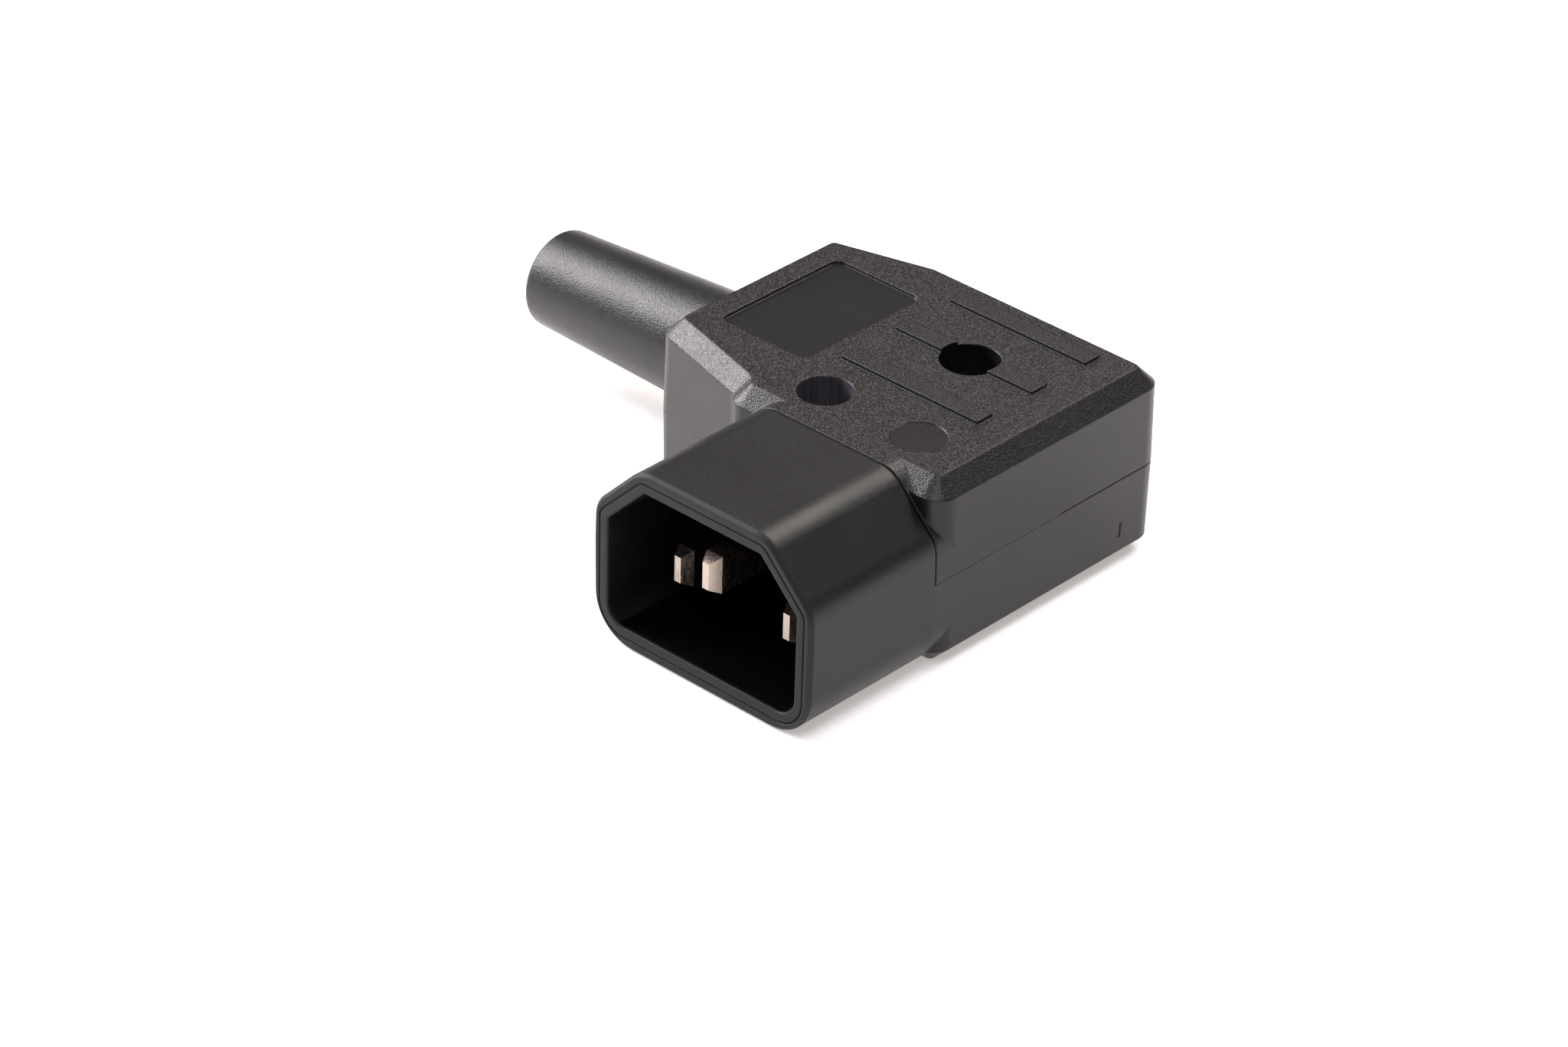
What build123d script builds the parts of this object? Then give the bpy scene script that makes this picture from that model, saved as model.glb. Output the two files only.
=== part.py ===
from build123d import *
import math
import os

# Rewirable right-angle appliance plug: a hooded three-pin front, a flat housing
# in two halves, and a soft boot that leaves to the side.
# Frame: the origin is the centre of the mating face, on the parting plane.
# +X points away from the boot, +Y from the mating face to the back, +Z up.
# All lengths are in millimetres, all angles in degrees.

# Hood: opening, outer profile and rim
opening_width = 24.1
opening_height = 16.0
opening_bevel = 4.65
opening_bottom_round = 2.2
opening_corner_round = 0.3
cavity_depth = 16.6
housing_width = 28.0
housing_height = 20.3
hood_bevel = 5.85
hood_bevel_round = 3.5
hood_bottom_round = 5.0
rim_outer_bevel = 0.35
rim_inner_bevel = 0.12
rim_groove_offset = 0.92
rim_groove_width = 0.2
rim_groove_depth = 0.2

# Housing outline, seen from above
x_left = -27.2
y_seam = 17.2
y_back = 50.2
boot_y = 34.5
arm_end_half = 12.25
arm_angle = 15.5
arm_inside_x = -11.0
corner_round = 2.5
neck_round = 1.2
bend_round = 4.0
edge_chamfer = 1.75
draft = 1.0

# Walls and the joint between the two halves
wall = 2.2
seam_gap = 0.2
hood_overlap = 3.3
carrier_depth = 2.2
carrier_clearance = 0.12
parting_groove_height = 0.1
parting_groove_depth = 0.35
parting_groove_start_y = 35.2
gate_scar_size = (0.45, 1.6)
gate_scar_center = (44.4, -5.9)
gate_scar_depth = 0.08
lip_inset = 1.2
lip_height = 1.2
lip_clearance = 0.1
lip_start_x = -19.5
lip_start_y = 22.5

# Contact pins and their terminal blocks
blade_thickness = 2.0
blade_height = 4.0
blade_tip_thickness = 0.8
blade_tip_height = 2.8
blade_tip_length = 1.2
pin_pitch = 14.0
pin_offset_z = 2.0
line_tip_y = 4.3
earth_tip_y = 0.7
slot_clearance = 0.05
block_width = 6.0
earth_block_width = 5.2
block_length = 7.0
earth_block_length = 6.5
line_block_y = 24.5
earth_block_y = 22.0
line_block_bottom = -5.5
line_block_top = 1.0
earth_block_bottom = -1.5
earth_block_top = 4.2
wire_hole_radius = 1.6
wire_hole_depth = 5.6
line_wire_z = -2.3
earth_wire_z = 1.2

# Screws
thread_radius = 1.5
thread_clearance = 0.03
screw_hole_radius = 1.7
head_radius = 2.5
head_height = 2.0
slot_width = 0.8
slot_depth = 1.0
terminal_screw_lift = 0.6
terminal_screw_length = 3.0
clamp_screw_length = 9.0
housing_screw_length = 8.6
pilot_extra_depth = 0.4
boss_radius = 3.6

# Features of the cover
rib_length = 17.5
rib_width = 2.2
rib_height = 0.35
rib_pitch = 7.85
rib_center = (-0.4, 37.7)
screw_well = (-0.2, 37.5)
screw_well_radius = 3.05
screw_seat_z = 2.0
well_boss_radius = 4.8
post_x = 5.98
post_y = 23.2
post_well_radius = 2.8
post_well_depth = 4.6
post_wall = 0.9
post_floor = 1.2
post_foot_radius = 1.2
witness_depth = 0.1
recess_size = (11.2, 16.9)
recess_center = (-17.0, 34.55)
recess_depth = 0.3
recess_round = 1.0

# Boot and the cable clamp behind it
boot_length = 25.95
boot_root_radius = 6.28
boot_tip_radius = 5.21
boot_tip_chamfer = 0.5
boot_bore_radius = 4.0
boot_droop = 1.6
flange_radius = 7.7
flange_thickness = 2.25
flange_inner_end = 4.72
boot_hole_radius = 6.55
bulkhead_x = -22.2
bulkhead_thickness = 1.5
bulkhead_notch_radius = 4.7
clamp_x = -17.5
clamp_width = 5.0
clamp_half_length = 11.3
clamp_ear_thickness = 2.4
clamp_bore_radius = 3.8
clamp_arch_thickness = 2.1
clamp_screw_spacing = 17.2
clamp_boss_radius = 2.9
clamp_round = 1.0
saddle_half_width = 5.2
saddle_length = 4.0
saddle_drop = 0.6

# Ribs of the base that carry and part the terminal blocks
partition_x = 3.3
partition_thickness = 1.0
partition_end_y = 32.0
pedestal_margin = 0.5

# Worked out from the driving dimensions
half_width = housing_width / 2
half_height = housing_height / 2
cavity_half_height = half_height - wall
arm_slope = math.tan(math.radians(arm_angle))
back_bend_x = x_left + (y_back - boot_y - arm_end_half) / arm_slope
pin_x = pin_pitch / 2
pin_places = ((-pin_x, -pin_offset_z), (pin_x, -pin_offset_z), (0, pin_offset_z))
line_block_mid_y = line_block_y + block_length / 2
earth_block_mid_y = earth_block_y + earth_block_length / 2
partition_start_y = y_seam + carrier_depth
partition_length = partition_end_y - partition_start_y
partition_mid_y = (partition_start_y + partition_end_y) / 2
pilot_depth = clamp_screw_length - clamp_ear_thickness + pilot_extra_depth
clamp_screw_places = (
    (clamp_x, boot_y - clamp_screw_spacing / 2),
    (clamp_x, boot_y + clamp_screw_spacing / 2),
)
post_shoulder_z = half_height - post_well_depth - post_floor
bulkhead_half_width = arm_end_half + arm_slope * (bulkhead_x - x_left) - wall / 2


def front_plane(y):
    """A plane facing the mating side at the depth y, with +X right and +Z up."""
    return Plane.XZ.offset(-y)


def drafted_half_width(z):
    """Half the housing's width at the height z: the mould's draft narrows it."""
    return half_width - abs(z) * math.tan(math.radians(draft))


# Outline of the housing at the parting plane: a block with a tapering arm
with BuildSketch(Plane.XY) as outline:
    with Locations((0, (y_seam + y_back) / 2)):
        Rectangle(housing_width, y_back - y_seam)
    fillet(outline.vertices(), corner_round)
    with BuildLine():
        Polyline(
            (x_left, boot_y + arm_end_half),
            (x_left, boot_y - arm_end_half),
            (arm_inside_x, boot_y - arm_end_half - arm_slope * (arm_inside_x - x_left)),
            (arm_inside_x, y_back),
            (back_bend_x, y_back),
            close=True,
        )
    make_face()
    fillet(outline.vertices().group_by(Axis.X)[0], corner_round)
    fillet(outline.vertices().sort_by_distance((back_bend_x, y_back))[0], bend_round)
    fillet(outline.vertices().sort_by_distance((-half_width, y_seam + 1.3))[0], neck_round)

# Outer profile of the hood, bevelled on the earth side
with BuildSketch(Plane.XZ) as hood_profile:
    hood_right = (
        (half_width - hood_bevel, half_height),
        (drafted_half_width(half_height - hood_bevel), half_height - hood_bevel),
        (half_width, 0),
        (drafted_half_width(half_height), -half_height),
    )
    hood_left = tuple((-x, z) for x, z in reversed(hood_right))
    with BuildLine():
        Polyline(*hood_right, *hood_left, close=True)
    make_face()
    fillet(hood_profile.vertices().group_by(Axis.Y)[0], hood_bottom_round)
    fillet(hood_profile.vertices().group_by(Axis.Y)[-1], hood_bevel_round)
    hood_side_corners = hood_profile.vertices().sort_by_distance(
        (half_width, half_height - hood_bevel)
    )[:1] + hood_profile.vertices().sort_by_distance((-half_width, half_height - hood_bevel))[:1]
    fillet(hood_side_corners, hood_bevel_round)

# Opening of the hood
with BuildSketch(Plane.XZ) as opening_profile:
    opening_right = (
        (opening_width / 2 - opening_bevel, opening_height / 2),
        (opening_width / 2, opening_height / 2 - opening_bevel),
        (opening_width / 2, -opening_height / 2),
    )
    opening_left = tuple((-x, z) for x, z in reversed(opening_right))
    with BuildLine():
        Polyline(*opening_right, *opening_left, close=True)
    make_face()
    fillet(opening_profile.vertices().group_by(Axis.Y)[0], opening_bottom_round)
    fillet(
        opening_profile.vertices().sort_by_distance((0, opening_height))[:4],
        opening_corner_round,
    )


def band(profile, inner, outer):
    """The band of a profile between two offsets of its edge, in its own plane."""
    with BuildSketch() as hole:
        add(profile.sketch_local)
        offset(amount=inner)
    with BuildSketch() as ring:
        add(profile.sketch_local)
        offset(amount=outer)
        add(hole.sketch, mode=Mode.SUBTRACT)
    return ring.sketch


# Solid upper half of the housing, drafted and bevelled, which both halves start from
with BuildPart() as half_block:
    with BuildSketch(Plane.XY):
        add(outline.sketch)
    extrude(amount=half_height, taper=draft)
    chamfer(half_block.faces().sort_by(Axis.Z)[-1].edges(), edge_chamfer)

# Base: lower half of the housing in one piece with the hood
with BuildPart() as base:
    mirror(half_block.part, about=Plane.XY)
    with BuildSketch(front_plane(0)):
        add(hood_profile.sketch_local)
    extrude(amount=-(y_seam - seam_gap))
    chamfer(base.faces().sort_by(Axis.Y)[0].edges(), rim_outer_bevel)
    with BuildSketch(front_plane(y_seam - seam_gap)):
        add(hood_profile.sketch_local)
        Rectangle(
            2 * housing_width,
            2 * housing_height,
            align=(Align.CENTER, Align.MAX),
            mode=Mode.INTERSECT,
        )
    extrude(amount=-(hood_overlap + seam_gap))

    # Hollow below the parting plane
    with BuildSketch(Plane.XY):
        add(outline.sketch)
        offset(amount=-wall)
    extrude(amount=-cavity_half_height, mode=Mode.SUBTRACT)

    # Carrier wall behind the hood, which the cover laps over
    with BuildSketch(front_plane(y_seam - seam_gap)):
        add(hood_profile.sketch_local)
        offset(amount=-(wall + carrier_clearance))
    extrude(amount=-(carrier_depth + seam_gap))

    # Opening for the mating connector, and the fine groove in its rim
    with BuildSketch(front_plane(0)):
        add(opening_profile.sketch_local)
    extrude(amount=-cavity_depth, mode=Mode.SUBTRACT)
    chamfer(base.faces().sort_by(Axis.Y)[0].inner_wires()[0].edges(), rim_inner_bevel)
    with BuildSketch(front_plane(0)):
        add(band(opening_profile, rim_groove_offset, rim_groove_offset + rim_groove_width))
    extrude(amount=-rim_groove_depth, mode=Mode.SUBTRACT)

    # Slots that the three blades pass through
    with BuildSketch(front_plane(cavity_depth - 1)):
        with Locations(*pin_places):
            Rectangle(blade_thickness + 2 * slot_clearance, blade_height + 2 * slot_clearance)
    extrude(amount=-(carrier_depth + wall + 1), mode=Mode.SUBTRACT)

    # Walls between the terminal blocks, and the pads that the blocks stand on
    with BuildSketch(Plane.XY.offset(-cavity_half_height)):
        with Locations((-partition_x, partition_mid_y), (partition_x, partition_mid_y)):
            Rectangle(partition_thickness, partition_length)
    extrude(amount=cavity_half_height)
    with BuildSketch(Plane.XY.offset(-cavity_half_height)):
        with Locations((-pin_x, line_block_mid_y), (pin_x, line_block_mid_y)):
            Rectangle(block_width - 2 * pedestal_margin, block_length - 2 * pedestal_margin)
    extrude(amount=cavity_half_height + line_block_bottom)
    with BuildSketch(Plane.XY.offset(-cavity_half_height)):
        with Locations((0, earth_block_mid_y)):
            Rectangle(
                earth_block_width - 2 * pedestal_margin,
                earth_block_length - 2 * pedestal_margin,
            )
    extrude(amount=cavity_half_height + earth_block_bottom)

    # Bosses for the housing screw and the two clamp screws
    with BuildSketch(Plane.XY.offset(-cavity_half_height)):
        with Locations(screw_well):
            Circle(boss_radius)
        with Locations(*clamp_screw_places):
            Circle(clamp_boss_radius)
    extrude(amount=cavity_half_height)
    with BuildSketch(Plane.XY):
        with Locations(screw_well, *clamp_screw_places):
            Circle(thread_radius + thread_clearance)
    extrude(amount=-pilot_depth, mode=Mode.SUBTRACT)

    # Cradle under the cable, and the bulkhead that keeps the boot's flange in place
    with BuildSketch(Plane.YZ.offset(clamp_x)):
        with Locations((boot_y, -cavity_half_height)):
            Rectangle(
                2 * saddle_half_width,
                cavity_half_height - saddle_drop,
                align=(Align.CENTER, Align.MIN),
            )
        with Locations((boot_y, 0)):
            Circle(clamp_bore_radius, mode=Mode.SUBTRACT)
    extrude(amount=saddle_length / 2, both=True)
    with BuildSketch(Plane.YZ.offset(bulkhead_x)):
        with Locations((boot_y, 0)):
            Rectangle(2 * bulkhead_half_width, cavity_half_height, align=(Align.CENTER, Align.MAX))
            Circle(bulkhead_notch_radius, mode=Mode.SUBTRACT)
    extrude(amount=bulkhead_thickness)
    with BuildSketch(Plane.YZ.offset(x_left - 1)):
        with Locations((boot_y, 0)):
            Circle(boot_hole_radius)
    extrude(amount=wall + 1, mode=Mode.SUBTRACT)

    # Scar on the outer wall where the mould's gate broke off
    scar_floor_x = drafted_half_width(gate_scar_center[1]) - gate_scar_depth
    with BuildSketch(Plane.YZ.offset(scar_floor_x)):
        with Locations(gate_scar_center):
            Rectangle(*gate_scar_size)
    extrude(amount=wall, mode=Mode.SUBTRACT)

    # Lip that stands up inside the cover's edge
    with BuildSketch(Plane.XY):
        add(band(outline, -wall, -lip_inset))
        with Locations((lip_start_x, lip_start_y)):
            Rectangle(
                2 * housing_width,
                2 * housing_width,
                align=(Align.MIN, Align.MIN),
                mode=Mode.INTERSECT,
            )
    extrude(amount=lip_height)

# Cover: upper half of the housing
with BuildPart() as cover:
    add(half_block.part)
    with BuildSketch(front_plane(y_seam)):
        add(hood_profile.sketch_local)
        Rectangle(
            2 * housing_width,
            2 * housing_height,
            align=(Align.CENTER, Align.MIN),
            mode=Mode.INTERSECT,
        )
    extrude(amount=-hood_overlap)

    # Hollow above the parting plane, and the room for the carrier wall
    with BuildSketch(Plane.XY):
        add(outline.sketch)
        offset(amount=-wall)
    extrude(amount=cavity_half_height, mode=Mode.SUBTRACT)
    with BuildSketch(front_plane(y_seam)):
        add(hood_profile.sketch_local)
        offset(amount=-wall)
    extrude(amount=-(hood_overlap + wall), mode=Mode.SUBTRACT)

    # Rebate for the base's lip
    with BuildSketch(Plane.XY):
        add(band(outline, -wall, lip_clearance - lip_inset))
        with Locations((lip_start_x - lip_clearance, lip_start_y - lip_clearance)):
            Rectangle(
                2 * housing_width,
                2 * housing_width,
                align=(Align.MIN, Align.MIN),
                mode=Mode.INTERSECT,
            )
    extrude(amount=lip_height + lip_clearance, mode=Mode.SUBTRACT)

    # Fine line round the joint; on the side away from the boot it opens only towards the back
    with BuildSketch(Plane.XY):
        add(band(outline, -parting_groove_depth, wall))
        with Locations((0, parting_groove_start_y)):
            Rectangle(
                housing_width,
                housing_width,
                align=(Align.MIN, Align.MAX),
                mode=Mode.SUBTRACT,
            )
    extrude(amount=parting_groove_height, mode=Mode.SUBTRACT)

    # Boss round the screw well, and the two posts that hold the live blades down
    with BuildSketch(Plane.XY.offset(cavity_half_height)):
        with Locations(screw_well):
            Circle(well_boss_radius)
    extrude(amount=-cavity_half_height)
    with BuildSketch(Plane.XY.offset(cavity_half_height)):
        with Locations((-post_x, post_y), (post_x, post_y)):
            Circle(post_well_radius + post_wall)
    extrude(amount=-(cavity_half_height - post_shoulder_z))
    with BuildSketch(Plane.XY.offset(post_shoulder_z)):
        with Locations((-post_x, post_y), (post_x, post_y)):
            Circle(post_foot_radius)
    extrude(amount=-post_shoulder_z)

    # Bulkhead over the boot's flange, and the hole for the boot
    with BuildSketch(Plane.YZ.offset(bulkhead_x)):
        with Locations((boot_y, 0)):
            Rectangle(2 * bulkhead_half_width, cavity_half_height, align=(Align.CENTER, Align.MIN))
            Circle(bulkhead_notch_radius, mode=Mode.SUBTRACT)
    extrude(amount=bulkhead_thickness)
    with BuildSketch(Plane.YZ.offset(x_left - 1)):
        with Locations((boot_y, 0)):
            Circle(boot_hole_radius)
    extrude(amount=wall + 1, mode=Mode.SUBTRACT)

    # Three raised bars on top; the screw well cuts through the middle one
    with BuildSketch(Plane.XY.offset(half_height)):
        with Locations(rib_center):
            with GridLocations(0, rib_pitch, 1, 3):
                Rectangle(rib_length, rib_width)
    extrude(amount=rib_height)

    # Shallow recess for a label, left bare
    with BuildSketch(Plane.XY.offset(half_height)):
        with Locations(recess_center):
            RectangleRounded(*recess_size, recess_round)
    extrude(amount=-recess_depth, mode=Mode.SUBTRACT)

    # Screw well with its seat, the cored post, and the flush disc beside it
    with BuildSketch(Plane.XY.offset(half_height + rib_height)):
        with Locations(screw_well):
            Circle(screw_well_radius)
    extrude(amount=-(half_height + rib_height - screw_seat_z), mode=Mode.SUBTRACT)
    with BuildSketch(Plane.XY):
        with Locations(screw_well):
            Circle(screw_hole_radius)
    extrude(amount=screw_seat_z, mode=Mode.SUBTRACT)
    with BuildSketch(Plane.XY.offset(half_height)):
        with Locations((-post_x, post_y)):
            Circle(post_well_radius)
    extrude(amount=-post_well_depth, mode=Mode.SUBTRACT)
    with BuildSketch(Plane.XY.offset(half_height)):
        with Locations((post_x, post_y)):
            Circle(post_well_radius)
    extrude(amount=-witness_depth, mode=Mode.SUBTRACT)

# Boot: a soft tapered sleeve with a flange inside the housing, sagging a little
droop = math.radians(boot_droop)
boot_plane = Plane(
    origin=(x_left, boot_y, 0),
    x_dir=(-math.cos(droop), 0, -math.sin(droop)),
    z_dir=(0, 1, 0),
)
boot_taper = (boot_root_radius - boot_tip_radius) / boot_length
neck_start = flange_thickness - flange_inner_end
with BuildPart() as strain_relief_boot:
    with BuildSketch(boot_plane):
        with BuildLine():
            Polyline(
                (-flange_inner_end, boot_bore_radius),
                (-flange_inner_end, flange_radius),
                (neck_start, flange_radius),
                (neck_start, boot_root_radius - boot_taper * neck_start),
                (boot_length, boot_tip_radius),
                (boot_length, boot_bore_radius),
                close=True,
            )
        make_face()
    revolve(axis=Axis(boot_plane.origin, boot_plane.x_dir))
    tip_edges = strain_relief_boot.edges().filter_by(GeomType.CIRCLE).sort_by(Axis.X)[:2]
    chamfer(tip_edges.sort_by(SortBy.RADIUS)[-1], boot_tip_chamfer)


def contact_pin(x, z, tip_y, width, start_y, length, bottom, top, wire_z):
    """A blade with a bevelled tip, in one piece with the block that takes its wire."""
    mid_y = start_y + length / 2
    with BuildPart() as pin:
        with BuildSketch(front_plane(tip_y)):
            with Locations((x, z)):
                Rectangle(blade_tip_thickness, blade_tip_height)
        with BuildSketch(front_plane(tip_y + blade_tip_length)):
            with Locations((x, z)):
                Rectangle(blade_thickness, blade_height)
        loft()
        with BuildSketch(front_plane(tip_y + blade_tip_length)):
            with Locations((x, z)):
                Rectangle(blade_thickness, blade_height)
        extrude(amount=-(start_y - tip_y - blade_tip_length))
        with BuildSketch(Plane.XY.offset(bottom)):
            with Locations((x, mid_y)):
                Rectangle(width, length)
        extrude(amount=top - bottom)
        with BuildSketch(front_plane(start_y + length)):
            with Locations((x, wire_z)):
                Circle(wire_hole_radius)
        extrude(amount=wire_hole_depth, mode=Mode.SUBTRACT)
        with BuildSketch(Plane.XY.offset(top)):
            with Locations((x, mid_y)):
                Circle(thread_radius + thread_clearance)
        extrude(amount=wire_z - top, mode=Mode.SUBTRACT)
    return pin


def screw(x, y, seat_z, shank_length):
    """A screw that stands on its seat: a round head with one slot, and a plain shank."""
    with BuildPart() as body:
        with BuildSketch(Plane.XY.offset(seat_z)):
            with Locations((x, y)):
                Circle(head_radius)
        extrude(amount=head_height)
        with BuildSketch(Plane.XY.offset(seat_z)):
            with Locations((x, y)):
                Circle(thread_radius)
        extrude(amount=-shank_length)
        with BuildSketch(Plane.XY.offset(seat_z + head_height)):
            with Locations((x, y)):
                Rectangle(3 * head_radius, slot_width)
        extrude(amount=-slot_depth, mode=Mode.SUBTRACT)
    return body


line_block = (block_width, line_block_y, block_length, line_block_bottom, line_block_top)
earth_block = (
    earth_block_width,
    earth_block_y,
    earth_block_length,
    earth_block_bottom,
    earth_block_top,
)
line_screw_seat = line_block_top + terminal_screw_lift
earth_screw_seat = earth_block_top + terminal_screw_lift
line_pin = contact_pin(-pin_x, -pin_offset_z, line_tip_y, *line_block, line_wire_z)
neutral_pin = contact_pin(pin_x, -pin_offset_z, line_tip_y, *line_block, line_wire_z)
earth_pin = contact_pin(0, pin_offset_z, earth_tip_y, *earth_block, earth_wire_z)

pieces = {
    "line_pin": line_pin,
    "neutral_pin": neutral_pin,
    "earth_pin": earth_pin,
    "line_terminal_screw": screw(
        -pin_x, line_block_mid_y, line_screw_seat, terminal_screw_length
    ),
    "neutral_terminal_screw": screw(
        pin_x, line_block_mid_y, line_screw_seat, terminal_screw_length
    ),
    "earth_terminal_screw": screw(
        0, earth_block_mid_y, earth_screw_seat, terminal_screw_length
    ),
    "housing_screw": screw(*screw_well, screw_seat_z, housing_screw_length),
}
for side, place in zip(("front", "back"), clamp_screw_places):
    pieces["clamp_screw_" + side] = screw(*place, clamp_ear_thickness, clamp_screw_length)

# Clamp bar: a flat strap with an arch over the cable
with BuildPart() as cable_clamp_bar:
    with BuildSketch(Plane.YZ.offset(clamp_x)):
        with Locations((boot_y, 0)):
            Circle(clamp_bore_radius + clamp_arch_thickness)
            Rectangle(
                2 * clamp_half_length,
                clamp_ear_thickness,
                align=(Align.CENTER, Align.MIN),
            )
            Circle(clamp_bore_radius, mode=Mode.SUBTRACT)
            Rectangle(
                2 * clamp_half_length,
                2 * clamp_half_length,
                align=(Align.CENTER, Align.MIN),
                mode=Mode.INTERSECT,
            )
    extrude(amount=clamp_width / 2, both=True)
    with BuildSketch(Plane.XY):
        with Locations(*clamp_screw_places):
            Circle(screw_hole_radius)
    extrude(amount=clamp_ear_thickness, mode=Mode.SUBTRACT)
    corner_edges = cable_clamp_bar.edges().filter_by(Axis.Z)
    fillet(corner_edges.sort_by(Axis.Y)[:2] + corner_edges.sort_by(Axis.Y)[-2:], clamp_round)

pieces["base"] = base
pieces["cover"] = cover
pieces["strain_relief_boot"] = strain_relief_boot
pieces["cable_clamp_bar"] = cable_clamp_bar

os.makedirs("parts", exist_ok=True)
for name, piece in pieces.items():
    piece.part.label = name
    export_step(piece.part, "parts/" + name + ".step")
    size = piece.part.bounding_box().size
    print(name, round(piece.part.volume, 1), [round(v, 2) for v in (size.X, size.Y, size.Z)])
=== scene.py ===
# %% [markdown]
# # A rewirable appliance plug, finished for the camera
#
# The plug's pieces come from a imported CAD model, already at their real size and in
# their real places. What is left for this script is the looks: how spark-eroded
# moulds leave their grain on black plastic, how a soft boot and plated blades take
# the light, and the fine forms that were left out of the CAD model, such as threads.
#
# The order is: load the pieces, set the camera, lay the floor and hang the lights,
# and light the room. Then the housing gets its finish, the boot is turned as a surface
# with numpy, the blades and the clamp are dressed, and the screws are worked out too.

import math
from types import SimpleNamespace

import bmesh
import bpy
import numpy as np
from mathutils import Matrix, Vector


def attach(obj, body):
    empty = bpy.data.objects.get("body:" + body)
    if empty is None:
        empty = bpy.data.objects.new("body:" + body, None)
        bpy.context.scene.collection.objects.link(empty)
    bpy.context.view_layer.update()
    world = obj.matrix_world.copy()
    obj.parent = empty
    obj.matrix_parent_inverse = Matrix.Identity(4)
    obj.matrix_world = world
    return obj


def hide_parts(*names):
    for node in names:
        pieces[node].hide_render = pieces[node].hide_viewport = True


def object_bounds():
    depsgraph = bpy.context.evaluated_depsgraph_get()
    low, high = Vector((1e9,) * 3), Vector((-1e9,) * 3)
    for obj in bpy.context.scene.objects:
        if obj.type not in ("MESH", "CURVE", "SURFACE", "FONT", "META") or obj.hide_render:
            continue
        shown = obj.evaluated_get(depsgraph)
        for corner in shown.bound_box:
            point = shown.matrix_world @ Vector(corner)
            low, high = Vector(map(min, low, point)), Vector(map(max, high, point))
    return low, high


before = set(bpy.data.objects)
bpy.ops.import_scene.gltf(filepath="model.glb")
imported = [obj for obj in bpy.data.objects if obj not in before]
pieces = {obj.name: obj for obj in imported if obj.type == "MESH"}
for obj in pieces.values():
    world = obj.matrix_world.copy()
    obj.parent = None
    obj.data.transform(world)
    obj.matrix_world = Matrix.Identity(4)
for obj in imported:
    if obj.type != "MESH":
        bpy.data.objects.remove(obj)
cad_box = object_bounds()
MM = 0.001
print("pieces:", ", ".join(sorted(pieces)))
print("size in mm:", [round((high - low) / MM, 1) for low, high in zip(*cad_box)])

# %% [markdown]
# ## Where the camera stands
#
# The photograph was taken with a long lens from about half a metre away, so lines
# that are parallel on the plug stay nearly parallel in the picture. A camera can be
# placed by its position and three angles: how far round it looks, how far down, and
# how much it is rolled. These angles came from the plug's own edges, which run along
# X, Y and Z, and are easier to check by eye than a matrix.

# %% Set the camera
CAMERA_PLACE_MM = (283.72, -302.04, 265.83)
LOOKS_ROUND_DEG = 42.16
LOOKS_DOWN_DEG = 31.86
ROLL_DEG = 1.708
LENS_MM = 121.92
SENSOR_MM = 36.0


def camera_matrix(place_mm, round_deg, down_deg, roll_deg):
    """The camera's place and its three turns, as one matrix.

    A turn about Z looks round, a tilt about X looks down from level, and the roll is
    about the line of sight."""
    turn = Matrix.Rotation(math.radians(round_deg), 4, "Z")
    tilt = Matrix.Rotation(math.radians(90 - down_deg), 4, "X")
    roll = Matrix.Rotation(math.radians(roll_deg), 4, "Z")
    return Matrix.Translation(Vector(place_mm) * MM) @ turn @ tilt @ roll


camera = bpy.data.objects.new("camera", bpy.data.cameras.new("camera"))
camera.data.lens = LENS_MM
camera.data.sensor_width = SENSOR_MM
camera.matrix_world = camera_matrix(CAMERA_PLACE_MM, LOOKS_ROUND_DEG, LOOKS_DOWN_DEG, ROLL_DEG)
bpy.context.scene.collection.objects.link(camera)
bpy.context.scene.camera = camera
line_of_sight = camera.matrix_world.to_3x3() @ Vector((0, 0, -1))
print("camera looks along", [round(v, 4) for v in line_of_sight])

# %% [markdown]
# ## A pale floor and soft boxes
#
# A black plug shows almost nothing of its own colour. What the eye reads is what it
# mirrors: the pale floor in its walls, and bright boxes in its bevels, its boot and
# the rounded edge of its hood. Small lamps would leave hard points of light, so each
# light is a wide rectangle, placed by asking which way a surface would mirror the
# camera. A large box and a low one on the left light the boot and the arm's bevels, a
# warm one above the back lights the hood's edge, and a bluish one in front fills in.
#
# The floor gives off a little light of its own, so that it stays even and pale up to
# the edges of the picture, as on a light table.

# %% Make the floor
FLOOR_SIZE = 3.0
FLOOR_COLOUR = (0.80, 0.78, 0.77, 1)
FLOOR_ROUGHNESS = 0.9
FLOOR_GLOW_COLOUR = (1.0, 0.945, 0.92, 1)
FLOOR_GLOW = 0.41


def flat_square(name, size, height):
    """Four corners at (+-size/2, +-size/2, height), joined by one face that looks up."""
    corners = np.array([(-1, -1), (1, -1), (1, 1), (-1, 1)]) * size / 2
    mesh = bpy.data.meshes.new(name)
    mesh.from_pydata(np.c_[corners, np.full(4, height)].tolist(), [], [(0, 1, 2, 3)])
    square = bpy.data.objects.new(name, mesh)
    bpy.context.scene.collection.objects.link(square)
    return square


plug_bottom = cad_box[0][2]
floor = flat_square("floor", FLOOR_SIZE, plug_bottom)
floor_paint = bpy.data.materials.new("pale_floor")
floor_paint.use_nodes = True
floor_shader = floor_paint.node_tree.nodes["Principled BSDF"]
floor_shader.inputs["Base Color"].default_value = FLOOR_COLOUR
floor_shader.inputs["Roughness"].default_value = FLOOR_ROUGHNESS
floor_shader.inputs["Emission Color"].default_value = FLOOR_GLOW_COLOUR
floor_shader.inputs["Emission Strength"].default_value = FLOOR_GLOW
floor.data.materials.append(floor_paint)
print("floor at", round(plug_bottom / MM, 2), "mm")

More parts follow.
